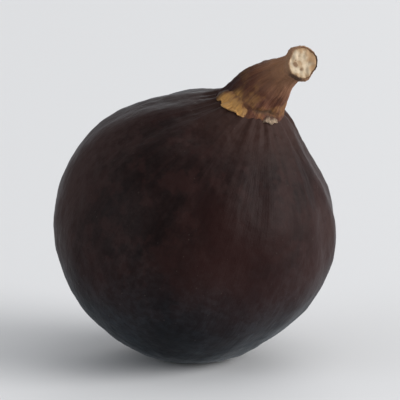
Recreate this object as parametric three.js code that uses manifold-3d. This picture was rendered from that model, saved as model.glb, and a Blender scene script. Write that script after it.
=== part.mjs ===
// A fresh dark fig, as picked, standing on the soft spot of its belly with its neck leaning to one side.
// It has three solids: the fruit (one skin-covered body with its short neck and the dimple of its eye), the
// stalk (with the small bracts that clasp its foot), and the rosette of scales that closes the eye.
//
// The fig is modelled upright in a frame of its own: the origin is the middle of the belly, +Z points to the
// neck, and +X is the side that it leans to. The last section leans it over and sets it on z = 0.
// All lengths are in millimetres, and angles are in degrees unless a name says otherwise.

import * as THREE from "three";
import { mergeVertices } from "three/addons/utils/BufferGeometryUtils.js";
import Module from "manifold-3d";

const wasm = await Module();
wasm.setup();

// ---------------------------------------------------------------- driving dimensions

const BELLY_RADIUS = 20.4; // half the width across the belly
const CROWN_HEIGHT = 19.7; // belly's middle to the shoulders, before the neck rises
const BASE_DEPTH = 19.3; // belly's middle to the eye end
const NECK_RISE = 3.4; // how far the neck stands above the crown
const NECK_SPREAD = 18; // how wide the neck's foot is
const EYE_DEPTH = 1.5; // the dimple that the eye sits in
const EYE_SPREAD = 9;
const LIP_HEIGHT = 0.45; // the soft lip round that dimple
const LIP_AT = 14;
const LIP_SPREAD = 5;
const RIBS = 13; // low ribs that run from neck to eye
const RIB_HEIGHT = 0.13;
const RIB_PEAK = 48; // where the ribs are strongest, counted from the neck
const RIB_SPREAD = 30;
const RIB_LEAST = 0.25; // the share of its height that a rib keeps far from there
const RIBLESS_NECK = 10; // the ribs fade out this close to the neck's axis
const RIBLESS_EYE = 22; // and this close to the eye
// Slow waves round the fruit that make the ribs uneven: how many go round, how strong, and where they start.
const RIB_DRIFT = [
  { count: 2, strength: 0.7, start: 1.1 },
  { count: 3, strength: 0.5, start: -0.6 },
];
const RIB_UNEVENNESS = [
  { count: 2, strength: 0.35, start: 0.4 },
  { count: 5, strength: 0.2, start: 0 },
];

const LEAN = 28.4; // how far the neck leans from upright
const LEAN_TOWARDS = -33; // the side it leans to, counted from world +X
const REST_SPOT_RADIUS = 5.2; // the soft flat that it rests on

const GAP = 0.35; // free space left between neighbouring solids

const degrees = THREE.MathUtils.degToRad;
const bell = (x, width) => Math.exp(-((x / width) ** 2));

// ---------------------------------------------------------------- placing the fig

const leaning = new THREE.Matrix4()
  .makeRotationZ(degrees(LEAN_TOWARDS))
  .multiply(new THREE.Matrix4().makeRotationY(degrees(LEAN)));
const upright = leaning.clone().invert();

// ---------------------------------------------------------------- the shape of the fruit

// Soft flats where other fruit pressed on it, each given by the world direction that it faces. The last one
// has a depth below nought: it is the full shoulder beside the neck.
const PRESSED = [
  { faces: [0.87, 0.1, 0.49], depth: 0.3, spread: 24 },
  { faces: [0.62, -0.18, -0.78], depth: 0.85, spread: 28 },
  { faces: [-0.31, 0.2, 0.93], depth: 0.6, spread: 20 },
  { faces: [-0.78, -0.55, 0.3], depth: 0.35, spread: 24 },
  { faces: [-0.25, 0.96, 0.1], depth: 0.85, spread: 27 },
  { faces: [0.67, -0.14, 0.73], depth: -0.65, spread: 13.5 },
].map(({ faces, depth, spread }) => ({
  middle: new THREE.Vector3(...faces).normalize().transformDirection(upright),
  depth,
  spread: degrees(spread),
}));

function sumOfWaves(waves, around) {
  let sum = 0;
  for (const { count, strength, start } of waves)
    sum += strength * Math.sin(count * around + start);
  return sum;
}

// The ribs' pace and their height both drift round the fruit.
function ribWave(around) {
  const pace = RIBS * around + sumOfWaves(RIB_DRIFT, around);
  return Math.cos(pace) * (1 + sumOfWaves(RIB_UNEVENNESS, around));
}

function directionAt(fromNeck, around) {
  const across = Math.sin(fromNeck);
  return new THREE.Vector3(across * Math.cos(around), across * Math.sin(around), Math.cos(fromNeck));
}

// Distance from the belly's middle to the skin, along a unit direction.
function fruitRadius(direction) {
  const fromNeck = Math.acos(THREE.MathUtils.clamp(direction.z, -1, 1));
  const fromEye = Math.PI - fromNeck;
  const around = Math.atan2(direction.y, direction.x);
  const across = Math.hypot(direction.x, direction.y);

  const height = direction.z > 0 ? CROWN_HEIGHT : BASE_DEPTH;
  let radius = 1 / Math.hypot(across / BELLY_RADIUS, direction.z / height);
  radius += NECK_RISE * bell(fromNeck, degrees(NECK_SPREAD));
  radius -= EYE_DEPTH * bell(fromEye, degrees(EYE_SPREAD));
  radius += LIP_HEIGHT * bell(fromEye - degrees(LIP_AT), degrees(LIP_SPREAD));
  for (const { middle, depth, spread } of PRESSED)
    radius -= depth * bell(direction.angleTo(middle), spread);

  const strongest = bell(fromNeck - degrees(RIB_PEAK), degrees(RIB_SPREAD));
  const atPoles = bell(fromNeck, degrees(RIBLESS_NECK)) + bell(fromEye, degrees(RIBLESS_EYE));
  const ribShare = (RIB_LEAST + (1 - RIB_LEAST) * strongest) * (1 - atPoles);
  return radius + RIB_HEIGHT * ribShare * ribWave(around);
}

// ---------------------------------------------------------------- helpers for solids

// A closed three.js geometry as a solid, with the vertices along its seams made one.
function solidOf(geometry) {
  const bare = geometry.clone();
  bare.deleteAttribute("normal");
  bare.deleteAttribute("uv");
  const merged = mergeVertices(bare, 1e-4);
  return new wasm.Manifold(
    new wasm.Mesh({
      numProp: 3,
      vertProperties: merged.getAttribute("position").array,
      triVerts: new Uint32Array(merged.index.array),
    }),
  );
}

function geometryOf(solid) {
  const mesh = solid.getMesh();
  const geometry = new THREE.BufferGeometry();
  geometry.setAttribute("position", new THREE.BufferAttribute(mesh.vertProperties, 3));
  geometry.setIndex(new THREE.BufferAttribute(mesh.triVerts, 1));
  geometry.computeVertexNormals();
  return geometry;
}

// Moves every vertex of a geometry to where place(point) puts it.
function reshape(geometry, place) {
  const position = geometry.getAttribute("position");
  const point = new THREE.Vector3();
  for (let i = 0; i < position.count; i++) {
    place(point.fromBufferAttribute(position, i));
    position.setXYZ(i, point.x, point.y, point.z);
  }
  return geometry;
}

// A ball of unit directions as a lathe, with its poles on Z and its rings closer together near both poles.
// A coarseness of 2 keeps every second ring and side.
const AROUND = 78;
const RINGS = 38;
const CROWDING = 0.62;
function directionBall(coarseness) {
  const rings = RINGS / coarseness;
  const profile = [];
  for (let i = 0; i <= rings; i++) {
    const share = i / rings;
    const fromEye = Math.PI * (share - (CROWDING / (2 * Math.PI)) * Math.sin(2 * Math.PI * share));
    const onAxis = i === 0 || i === rings;
    profile.push(new THREE.Vector2(onAxis ? 0 : Math.sin(fromEye), -Math.cos(fromEye)));
  }
  return new THREE.LatheGeometry(profile, AROUND / coarseness).rotateX(Math.PI / 2);
}

// The fruit's skin moved out by a margin.
function fruitSolid(margin, coarseness = 1) {
  const skin = reshape(directionBall(coarseness), (point) => {
    const direction = point.clone().normalize();
    point.copy(direction).multiplyScalar(fruitRadius(direction) + margin);
  });
  return solidOf(skin);
}

// ---------------------------------------------------------------- the fruit

// The belly's middle stands this high, so that the floor cuts a spot of the stated radius off the belly.
const down = new THREE.Vector3(0, 0, -1).transformDirection(upright);
const lowest = fruitRadius(down);
const middleHeight = Math.sqrt(lowest ** 2 - REST_SPOT_RADIUS ** 2);

const standing = new THREE.Matrix4().makeTranslation(0, 0, middleHeight).multiply(leaning);

const BLOCK = 60;
const floorBlock = new THREE.BoxGeometry(BLOCK, BLOCK, BLOCK)
  .translate(0, 0, -BLOCK / 2)
  .applyMatrix4(standing.clone().invert());
const fruit = fruitSolid(0).subtract(solidOf(floorBlock));

// ---------------------------------------------------------------- the stalk

const STALK_PATH = new THREE.CubicBezierCurve3(
  new THREE.Vector3(-0.6, -0.05, 18.8),
  new THREE.Vector3(-0.6, -0.05, 23.8),
  new THREE.Vector3(1.7, 0.4, 29.6),
  new THREE.Vector3(4.5, -1.85, 32.2),
);
// Half its width, from the foot to the cut end: a stout foot, a waist and a knobbly end.
const STALK_PROFILE = new THREE.SplineCurve([
  new THREE.Vector2(4.6, 0.0),
  new THREE.Vector2(4.55, 0.16),
  new THREE.Vector2(4.1, 0.33),
  new THREE.Vector2(3.3, 0.5),
  new THREE.Vector2(2.4, 0.66),
  new THREE.Vector2(2.0, 0.8),
  new THREE.Vector2(2.25, 0.88),
  new THREE.Vector2(2.5, 0.95),
  new THREE.Vector2(2.3, 1.0),
]);
const STALK_SIDES = 30;
const STALK_STEPS = 18;
const STALK_RIDGES = 5; // low ridges in the bark, which fade towards the cut end
const STALK_RIDGE = 0.06; // their height, as a share of the half width
const RIDGE_FADE = 0.5;

// A frame that travels along the stalk without twisting.
const ACROSS = new THREE.Vector3(0, 1, 0);
function alongStalk(share) {
  const at = STALK_PATH.getPoint(share);
  const forward = STALK_PATH.getTangent(share);
  const side = new THREE.Vector3().crossVectors(ACROSS, forward).normalize();
  const other = new THREE.Vector3().crossVectors(forward, side);
  return { at, side, other };
}

function stalkRod() {
  const profile = [new THREE.Vector2(0, 0)];
  for (const { x, y } of STALK_PROFILE.getPoints(STALK_STEPS))
    profile.push(new THREE.Vector2(x, THREE.MathUtils.clamp(y, 0, 1)));
  profile.push(new THREE.Vector2(0, 1));
  const rod = new THREE.LatheGeometry(profile, STALK_SIDES).rotateX(Math.PI / 2);
  return reshape(rod, (point) => {
    const around = Math.atan2(point.y, point.x);
    const ridged = 1 + STALK_RIDGE * Math.cos(STALK_RIDGES * around) * (1 - RIDGE_FADE * point.z);
    const { at, side, other } = alongStalk(THREE.MathUtils.clamp(point.z, 0, 1));
    const { x, y } = point;
    point.copy(at).addScaledVector(side, x * ridged).addScaledVector(other, y * ridged);
  });
}

// ---------------------------------------------------------------- the bracts at the stalk's foot

// Where each bract's tip points, counted round from the lean, how far it reaches past the ring that it grows
// from, and half its width.
const BRACTS = [
  { facing: 250, reach: 3.2, halfWidth: 41 },
  { facing: 338, reach: 2.8, halfWidth: 19 },
  { facing: 122, reach: 3.8, halfWidth: 42 },
];
const BRACT_RING = 10.3; // that ring, in degrees from the neck's axis
const RING_SLANT = 1.3; // it reaches further down on one side of the neck
const SLANT_TOWARDS = 218;
const BRACT_THICKNESS = 0.65;
const TIP_BLUNTNESS = 1.5; // 1 gives a bract straight sides, and more gives it rounder ones

// How far from the neck's axis the collar of bracts reaches, in degrees, on each side.
function collarEdge(around) {
  const ring = BRACT_RING + RING_SLANT * Math.cos(degrees(around - SLANT_TOWARDS));
  let past = 0;
  for (const { facing, reach, halfWidth } of BRACTS) {
    const off = Math.abs(THREE.MathUtils.euclideanModulo(around - facing + 180, 360) - 180);
    const fromTip = Math.min(1, off / halfWidth);
    past = Math.max(past, reach * (1 - fromTip ** TIP_BLUNTNESS));
  }
  return ring + past;
}

// A cap that lies over the neck like a collar with three points. Its top follows the skin, and its under
// side is sunk, so that it can be cut away together with the stalk's foot.
const COLLAR_SIDES = 60;
const COLLAR_TOP = [1, 0.92, 0.78, 0]; // shares of the way out, from the edge in
const COLLAR_SINK = 1.5;
function bractCollar() {
  const top = COLLAR_TOP.map((share) => new THREE.Vector2(share, 1));
  const profile = [new THREE.Vector2(0, 0), new THREE.Vector2(1, 0), ...top];
  const cap = new THREE.LatheGeometry(profile, COLLAR_SIDES).rotateX(Math.PI / 2);
  return reshape(cap, (point) => {
    const share = Math.min(1, Math.hypot(point.x, point.y));
    const around = Math.atan2(point.y, point.x);
    const fromNeck = degrees(collarEdge(THREE.MathUtils.radToDeg(around))) * share;
    const above = point.z > 0.5 ? GAP + BRACT_THICKNESS : -COLLAR_SINK;
    const direction = directionAt(fromNeck, around);
    point.copy(direction).multiplyScalar(fruitRadius(direction) + above);
  });
}

const clearOfFruit = fruitSolid(GAP, 2);
const stalk = solidOf(stalkRod()).add(solidOf(bractCollar())).subtract(clearOfFruit);

// ---------------------------------------------------------------- the scales of the eye

// A scale's outline, in shares of its length and of its width.
const SCALE_TAIL = 0.15; // how far it runs back past its root
const SCALE_ROOT = 0.32; // half its width at the tail
const SCALE_BULGE = { along: 0.45, out: 0.62 }; // the corner that each side's curve bends towards

// One scale is a pointed blade: its root is at the origin and its point lies along +X.
function scaleBlade(length, width, thickness) {
  const tail = -SCALE_TAIL * length;
  const rootHalf = SCALE_ROOT * width;
  const bulgeAt = SCALE_BULGE.along * length;
  const bulgeOut = SCALE_BULGE.out * width;
  const outline = new THREE.Shape();
  outline.moveTo(tail, -rootHalf);
  outline.quadraticCurveTo(bulgeAt, -bulgeOut, length, 0);
  outline.quadraticCurveTo(bulgeAt, bulgeOut, tail, rootHalf);
  outline.closePath();
  return new THREE.ExtrudeGeometry(outline, {
    depth: thickness,
    bevelEnabled: false,
    curveSegments: 5,
  }).translate(0, 0, -thickness / 2);
}

// The whorls, from the outermost in: how many scales, where they root, how they slope and where they start.
const EYE_WHORLS = [
  { count: 6, root: 3.3, length: 2.9, width: 3.3, rise: 12, lift: 0.15, start: 10 },
  { count: 5, root: 2.3, length: 2.0, width: 2.4, rise: 24, lift: 0.3, start: 44 },
  { count: 4, root: 1.3, length: 1.15, width: 1.5, rise: 42, lift: 0.45, start: 20 },
];
const SCALE_THICKNESS = 0.65;
const SCALE_TWIST = 7; // each scale tips sideways, so that it overlaps the next one
const EYE_CORE = { radius: 3.2, height: 0.75 };

const eyeFloor = -fruitRadius(new THREE.Vector3(0, 0, -1));

// The rosette is made facing +Z about the origin, then turned over and set in the dimple.
function eyeRosette() {
  const core = new THREE.SphereGeometry(1, 24, 8).rotateX(Math.PI / 2);
  core.scale(EYE_CORE.radius, EYE_CORE.radius, EYE_CORE.height);
  const pieces = [solidOf(core)];
  for (const { count, root, length, width, rise, lift, start } of EYE_WHORLS)
    for (let i = 0; i < count; i++) {
      const blade = scaleBlade(length, width, SCALE_THICKNESS)
        .rotateY(-degrees(rise))
        .rotateX(degrees(SCALE_TWIST))
        .rotateZ(Math.PI)
        .translate(root, 0, lift)
        .rotateZ(degrees(start + (360 / count) * i));
      pieces.push(solidOf(blade));
    }
  return wasm.Manifold.union(pieces);
}

const eyePlace = new THREE.Matrix4()
  .makeTranslation(0, 0, eyeFloor - GAP)
  .multiply(new THREE.Matrix4().makeRotationX(Math.PI));
const eyeScales = solidOf(geometryOf(eyeRosette()).applyMatrix4(eyePlace)).subtract(clearOfFruit);

// ---------------------------------------------------------------- the fig

function piece(name, solid, color, roughness) {
  const material = new THREE.MeshStandardMaterial({ color, roughness, metalness: 0 });
  const mesh = new THREE.Mesh(geometryOf(solid), material);
  mesh.name = name;
  return mesh;
}

const uprightFig = new THREE.Group();
uprightFig.add(
  piece("fruit", fruit, 0x2e2226, 0.48),
  piece("stalk", stalk, 0x8a6446, 0.7),
  piece("eye_scales", eyeScales, 0x5a2c28, 0.7),
);
uprightFig.applyMatrix4(standing);

const fig = new THREE.Group();
fig.add(uprightFig);

export default fig;
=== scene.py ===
# %% [markdown]
# # A fresh dark fig
# A fig is not one simple ball. It has a soft skin with low ribs and a dusty bloom, a woody stalk that ends in
# a pale cut, small dry bracts that clasp the stalk's foot, and an eye at the far end that tiny scales close.
# Each of these becomes a piece of its own here, because each has its own form and its own finish.
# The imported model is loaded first. It fixes every size and place, and the pieces made below stand on it.

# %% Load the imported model
import math
import bpy
import numpy as np
from mathutils import Matrix, Vector


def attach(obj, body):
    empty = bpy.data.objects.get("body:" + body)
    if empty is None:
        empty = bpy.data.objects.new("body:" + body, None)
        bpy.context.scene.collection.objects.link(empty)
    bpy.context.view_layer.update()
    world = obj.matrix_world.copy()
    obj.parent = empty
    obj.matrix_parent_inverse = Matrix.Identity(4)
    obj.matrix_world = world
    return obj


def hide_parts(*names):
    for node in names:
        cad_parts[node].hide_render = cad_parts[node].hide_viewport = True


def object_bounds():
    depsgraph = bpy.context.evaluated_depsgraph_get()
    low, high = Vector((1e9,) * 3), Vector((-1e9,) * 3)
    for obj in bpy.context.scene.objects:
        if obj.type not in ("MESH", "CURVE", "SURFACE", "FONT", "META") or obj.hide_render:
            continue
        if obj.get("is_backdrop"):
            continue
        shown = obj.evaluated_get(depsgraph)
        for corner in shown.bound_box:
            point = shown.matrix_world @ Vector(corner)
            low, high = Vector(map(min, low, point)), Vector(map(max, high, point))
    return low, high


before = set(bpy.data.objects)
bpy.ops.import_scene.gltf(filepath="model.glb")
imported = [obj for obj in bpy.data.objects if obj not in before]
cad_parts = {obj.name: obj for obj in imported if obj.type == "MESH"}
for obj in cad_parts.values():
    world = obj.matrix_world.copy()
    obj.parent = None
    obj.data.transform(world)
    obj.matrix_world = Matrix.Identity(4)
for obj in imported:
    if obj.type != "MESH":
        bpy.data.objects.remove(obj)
packed_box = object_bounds()
print("packed nodes:", sorted(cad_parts))

# %% [markdown]
# ## The fig's own frame
# A fruit that grew round a stalk is easiest to describe from inside: stand in the middle of the belly, look
# along any direction, and say how far away the skin is. So the fig is described upright, with +Z towards
# the stalk, and is leaned over and set down at the very end. All of its sizes are in millimetres, and one
# factor turns them into Blender's metres. Widths and places on the round form are angles, in degrees.

# %% Driving sizes and placing
MM = 0.001
BELLY_RADIUS = 20.4
CROWN_HEIGHT = 19.7
BASE_DEPTH = 19.3
NECK_RISE, NECK_SPREAD = 3.4, 18
EYE_DEPTH, EYE_SPREAD = 1.5, 9
LIP_HEIGHT, LIP_AT, LIP_SPREAD = 0.45, 14, 5
RIBS, RIB_HEIGHT, RIB_PEAK, RIB_SPREAD, RIB_LEAST = 13, 0.13, 48, 30, 0.25
RIBLESS_NECK, RIBLESS_EYE = 10, 22
RIB_DRIFT = [(2, 0.7, 1.1), (3, 0.5, -0.6)]  # slow waves: how many go round, how strong, where they start
RIB_UNEVENNESS = [(2, 0.35, 0.4), (5, 0.2, 0)]
LEAN, LEAN_TOWARDS = 28.4, -33
REST_SPOT_RADIUS = 5.2

# Soft flats where other fruit pressed on it: the world direction it faces, its depth and its spread. The
# last one has a depth below nought: it is the full shoulder beside the neck.
PRESSED = [
    ((0.87, 0.1, 0.49), 0.3, 24),
    ((0.62, -0.18, -0.78), 0.85, 28),
    ((-0.31, 0.2, 0.93), 0.6, 20),
    ((-0.78, -0.55, 0.3), 0.35, 24),
    ((-0.25, 0.96, 0.1), 0.85, 27),
    ((0.67, -0.14, 0.73), -0.65, 13.5),
]

leaning = Matrix.Rotation(math.radians(LEAN_TOWARDS), 3, "Z") @ Matrix.Rotation(math.radians(LEAN), 3, "Y")
lean = np.array(leaning)
print(f"a belly {2 * BELLY_RADIUS:.1f} mm across with {RIBS} ribs, and a neck that leans {LEAN} degrees")

# %% [markdown]
# ## The form of the fruit
# A ball could be pushed about by hand in sculpt mode, but then nobody could say where its skin is. A formula
# can: an ellipsoid, plus a soft bump for the neck, minus a dimple for the eye, minus the soft flats, plus low
# uneven ribs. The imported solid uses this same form, so the fine skin lies where the solid's faces are.

# %% The fruit's radius in any direction
def bell(x, width):
    return np.exp(-((x / width) ** 2))


def unit(vectors):
    vectors = np.asarray(vectors, float)
    return vectors / np.linalg.norm(vectors, axis=-1, keepdims=True)


def degrees_apart(cosine):
    """The angle between unit directions, in degrees, from their dot product."""
    return np.degrees(np.arccos(np.clip(cosine, -1, 1)))


def turn_of(points):
    """How far round the fig's own axis the points lie, in radians."""
    return np.arctan2(points[..., 1], points[..., 0])


def sum_of_waves(waves, turn):
    return sum(strength * np.sin(count * turn + start) for count, strength, start in waves)


def rib_wave(turn):
    return np.cos(RIBS * turn + sum_of_waves(RIB_DRIFT, turn)) * (1 + sum_of_waves(RIB_UNEVENNESS, turn))


def fruit_radius(way):
    from_neck = degrees_apart(way[..., 2])
    from_eye = 180 - from_neck
    across = np.hypot(way[..., 0], way[..., 1])
    height = np.where(way[..., 2] > 0, CROWN_HEIGHT, BASE_DEPTH)
    radius = 1 / np.hypot(across / BELLY_RADIUS, way[..., 2] / height)
    radius = radius + NECK_RISE * bell(from_neck, NECK_SPREAD)
    radius = radius - EYE_DEPTH * bell(from_eye, EYE_SPREAD)
    radius = radius + LIP_HEIGHT * bell(from_eye - LIP_AT, LIP_SPREAD)
    for faces, depth, spread in PRESSED:
        radius = radius - depth * bell(degrees_apart(way @ (unit(faces) @ lean)), spread)
    strongest = bell(from_neck - RIB_PEAK, RIB_SPREAD)
    at_poles = bell(from_neck, RIBLESS_NECK) + bell(from_eye, RIBLESS_EYE)
    rib_share = (RIB_LEAST + (1 - RIB_LEAST) * strongest) * (1 - at_poles)
    return radius + RIB_HEIGHT * rib_share * rib_wave(turn_of(way))


down = np.array([0, 0, -1]) @ lean
lowest = float(fruit_radius(down))
middle_height = math.sqrt(lowest**2 - REST_SPOT_RADIUS**2)
standing = Matrix.Translation((0, 0, middle_height * MM)) @ leaning.to_4x4()
print(f"belly's middle stands {middle_height:.2f} mm above the surface")

# %% [markdown]
# ## Smooth noise
# No two figs have the same lumps, so nearly every form below takes a little noise. Blender's noise textures
# live in materials, but a mesh needs the values themselves. So the noise here is a sum of a few seeded waves
# that run in all directions: it is smooth, it has no seams, and it comes out the same on every run.

# %% Smooth noise
def soft_noise(points, wavelength, seed, waves=20):
    """Smooth noise about 0, mostly within 1.5, with bumps about as wide as the wavelength."""
    draw = np.random.default_rng(seed)
    heading = unit(draw.normal(size=(waves, 3)))
    pace = 2 * np.pi / (wavelength * draw.uniform(0.75, 1.35, waves))
    phase = draw.uniform(0, 2 * np.pi, waves)
    return np.cos(points @ (heading * pace[:, None]).T + phase).sum(axis=-1) * math.sqrt(2 / waves)


def uneven(points, usual, strength, wavelength, seed, least, most):
    """A factor that varies from place to place, so that a form isn't equally strong everywhere."""
    return np.clip(usual + strength * soft_noise(points, wavelength, seed), least, most)


trial = soft_noise(np.linspace(0, 60, 600)[:, None] * unit((1, 2, 3)), 6, seed=1)
print(f"noise along a line runs from {trial.min():.2f} to {trial.max():.2f}")

# %% [markdown]
# ## Helpers for meshes
# Every piece below is a stack of rings or a small sheet, worked out with numpy and then handed to Blender
# in one go, which is much faster than adding faces one by one. What a finish has to know about a place, such
# as how dry the bark is there, travels with the mesh as an attribute: one number for every point.

# %% Mesh helpers
def add_attribute(mesh, name, values):
    values = np.asarray(values, np.float32)
    kind, key = ("FLOAT_VECTOR", "vector") if values.ndim > 1 else ("FLOAT", "value")
    mesh.attributes.new(name, kind, "POINT").data.foreach_set(key, values.ravel())


def new_piece(name, points, faces, place=standing, **attributes):
    """A smooth mesh from points in millimetres, put in place, with its attributes written to its points."""
    mesh = bpy.data.meshes.new(name)
    mesh.from_pydata(np.asarray(points) * MM, [], faces)
    mesh.transform(place)
    mesh.shade_smooth()
    for key, values in attributes.items():
        add_attribute(mesh, key, values)
    mesh.validate()
    piece = bpy.data.objects.new(name, mesh)
    bpy.context.scene.collection.objects.link(piece)
    print(f"{name}: {len(mesh.vertices)} points, {sum(len(f) - 2 for f in faces)} triangles")
    return piece


def ring_faces(count, sides):
    """Faces of a closed skin: a first point, a stack of rings that each run round once, and a last point."""
    index = 1 + np.arange(count * sides).reshape(count, sides)
    onward = np.roll(index, -1, axis=1)
    walls = np.stack([index[:-1], onward[:-1], onward[1:], index[1:]], axis=-1).reshape(-1, 4).tolist()
    last = count * sides + 1
    start = [(0, b, a) for a, b in zip(index[0].tolist(), onward[0].tolist())]
    end = [(last, a, b) for a, b in zip(index[-1].tolist(), onward[-1].tolist())]
    return walls + start + end


def stack(first, rings, last):
    return np.vstack([[first], rings.reshape(-1, rings.shape[-1]), [last]])


def ring_turns(sides):
    """Equal steps round a ring, in radians."""
    return np.arange(sides) / sides * 2 * np.pi


print("a closed skin of 3 rings with 8 sides has", len(ring_faces(3, 8)), "faces")

# %% [markdown]
# ## The skin's fine relief
# Close up, a fig's skin is never smooth. Veins run from stalk to eye just under it, the neck is gathered
# into small pleats with fine cross wrinkles, the skin puckers round the eye, and all of it is a little
# lumpy. These are real forms with shadows of their own, so they are made in the mesh, as small heights that
# are added to the radius. Only the pores and the grain, under a millimetre wide, are left to the material.

# %% The skin's fine relief
VEINS, VEIN_HEIGHT, VEIN_WIDTH, VEIN_VALLEY = 44, 0.03, 0.42, 0.35
VEINS_AT, VEINS_SPREAD, VEIN_LEAST = 40, 38, 0.35
VEINLESS_NECK, VEINLESS_EYE = 9, 14
GATHERED_AT, GATHERED_SPREAD = 16, 7  # the ring of skin round the neck that is gathered
PLEATS, PLEAT_HEIGHT = 23, 0.085
WRINKLE_HEIGHT, WRINKLE_LENGTH = 0.035, 1.25
PUCKERS, PUCKER_HEIGHT, PUCKERS_AT, PUCKERS_SPREAD = 17, 0.11, 11, 5
VEIN_WANDER, PLEAT_WANDER, PUCKER_WANDER = 0.55, 1.4, 1.1  # how much their lines stray
LUMPS = [(14.0, 0.08), (5.5, 0.035), (2.2, 0.016), (1.0, 0.008)]  # width of the lumps, and how high they are


def veins(place, turn, from_neck):
    wander = VEIN_WANDER * soft_noise(place, 11, seed=3) + 0.2 * np.sin(3 * turn)
    vein = bell(np.sin(VEINS / 2 * turn + wander), VEIN_WIDTH) - VEIN_VALLEY
    strength = VEIN_LEAST + (1 - VEIN_LEAST) * bell(from_neck - VEINS_AT, VEINS_SPREAD)
    strength = strength * (1 - bell(from_neck, VEINLESS_NECK)) * (1 - bell(180 - from_neck, VEINLESS_EYE))
    patchy = uneven(place, usual=0.75, strength=0.45, wavelength=8, seed=4, least=0.1, most=1.5)
    return VEIN_HEIGHT * vein * strength * patchy


def neck_gathers(place, turn, from_neck):
    pleat = np.cos(PLEATS * turn + PLEAT_WANDER * soft_noise(place, 9, seed=5))
    rung = np.radians(from_neck) * BELLY_RADIUS + 0.35 * soft_noise(place, 3.2, seed=7)
    wrinkle = np.cos(2 * np.pi * rung / WRINKLE_LENGTH)
    pleated = uneven(place, usual=0.7, strength=0.5, wavelength=7, seed=6, least=0, most=1.6)
    wrinkled = uneven(place, usual=0.4, strength=0.7, wavelength=4.5, seed=8, least=0, most=1.3)
    gathers = PLEAT_HEIGHT * pleat * pleated + WRINKLE_HEIGHT * wrinkle * wrinkled
    return gathers * bell(from_neck - GATHERED_AT, GATHERED_SPREAD)


def eye_puckers(place, turn, from_eye):
    pucker = np.cos(PUCKERS * turn + PUCKER_WANDER * soft_noise(place, 6, seed=9))
    return PUCKER_HEIGHT * pucker * bell(from_eye - PUCKERS_AT, PUCKERS_SPREAD)


def skin_relief(way):
    from_neck, turn, place = degrees_apart(way[..., 2]), turn_of(way), way * BELLY_RADIUS
    relief = veins(place, turn, from_neck) + neck_gathers(place, turn, from_neck)
    relief = relief + eye_puckers(place, turn, 180 - from_neck)
    for seed, (width, height) in enumerate(LUMPS, start=20):
        relief = relief + height * soft_noise(place, width, seed)
    return relief


print(f"veins {VEIN_HEIGHT} mm high, pleats {PLEAT_HEIGHT} mm, puckers {PUCKER_HEIGHT} mm")

# %% [markdown]
# ## The fruit's mesh
# A ripe fig settles on a small soft flat, so the skin turns softly into a level spot where it would go below
# the surface. A sphere from the menu would spread its faces evenly. Here the rings crowd together towards
# the neck and the eye instead, because that is where the pleats and puckers need them.

# %% Rings of skin with a flat spot to rest on
SOFT_TURN = 0.06
FRUIT_SIDES, FRUIT_RINGS, CROWDING = 352, 236, 0.62


def rest_flat(way, radius):
    """Keeps the skin above the surface that the fig rests on, with a soft turn into the flat."""
    falls = np.maximum(-(way @ lean.T)[..., 2], 1e-6)
    room = middle_height / falls
    meeting = np.clip(0.5 + (room - radius) / (2 * SOFT_TURN), 0, 1)
    return room + (radius - room) * meeting - SOFT_TURN * meeting * (1 - meeting)


def skin_at(way):
    return rest_flat(way, fruit_radius(way) + skin_relief(way))


def way_at(from_neck, around):
    """The unit direction that lies this far from the neck's axis, in degrees, and this far round it."""
    tilt, turn = np.broadcast_arrays(np.radians(from_neck), np.radians(around))
    return np.stack([np.sin(tilt) * np.cos(turn), np.sin(tilt) * np.sin(turn), np.cos(tilt)], axis=-1)


skin_share = np.arange(1, FRUIT_RINGS) / FRUIT_RINGS
ring_tilt = 180 * (skin_share - CROWDING / (2 * np.pi) * np.sin(2 * np.pi * skin_share))
ring_turn = np.arange(FRUIT_SIDES) / FRUIT_SIDES * 360
fruit_ways = stack((0, 0, 1), way_at(ring_tilt[:, None], ring_turn[None, :]), (0, 0, -1))
fruit_points = fruit_ways * skin_at(fruit_ways)[:, None]
print(f"the skin lies {np.linalg.norm(fruit_points, axis=1).min():.1f} mm or more from the belly's middle")

# %% [markdown]
# ## Where the skin differs
# The bloom is not even: hands and neighbours rubbed it off, and one cheek of the fig is redder than the rest.
# The rubbed patch faces the camera, so it is also painted shade: the middle of the fig as seen loses its
# bloom and reads darker than its paler rims.
# Such places could be painted by hand, but a soft, ragged patch round a direction does it in one line. The
# skin also carries its own lengthwise direction, so that its colours can be drawn out from stalk to eye.

# %% The skin with its rubbed, painted-shade patch and its redder cheek
# The rubbed patch is partly real rubbed bloom and partly painted shade: it faces the camera, so the middle
# reads darker than the rims.
RUBBED_AND_SHADED_FACES, RUBBED_AND_SHADED_SPREAD, RUBBED_AND_SHADED_RAGGED = (0.12, -0.98, 0.1), 48, 9
BLUSH_FACES, BLUSH_SPREAD, BLUSH_RAGGED = (0.34, -0.93, 0.02), 24, 8


def ragged_patch(faces, spread, ragged, seed):
    """A soft patch on the skin round a world direction, as a share from 0 to 1 at every point of the mesh."""
    off = degrees_apart(fruit_ways @ (unit(faces) @ lean))
    return bell(np.maximum(off + ragged * soft_noise(fruit_ways * BELLY_RADIUS, 9, seed), 0), spread)


fruit = new_piece(
    "fig_skin",
    fruit_points,
    ring_faces(FRUIT_RINGS - 1, FRUIT_SIDES),
    skin_flow=np.column_stack([unit(fruit_ways[:, :2] + 1e-9), np.arccos(fruit_ways[:, 2]) / np.pi]),
    # Rubbed bloom, and painted shade on the side facing the camera.
    rubbed=ragged_patch(RUBBED_AND_SHADED_FACES, RUBBED_AND_SHADED_SPREAD, RUBBED_AND_SHADED_RAGGED, seed=12),
    blush=ragged_patch(BLUSH_FACES, BLUSH_SPREAD, BLUSH_RAGGED, seed=14),
)
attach(fruit, "root")
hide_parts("fruit")
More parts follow.
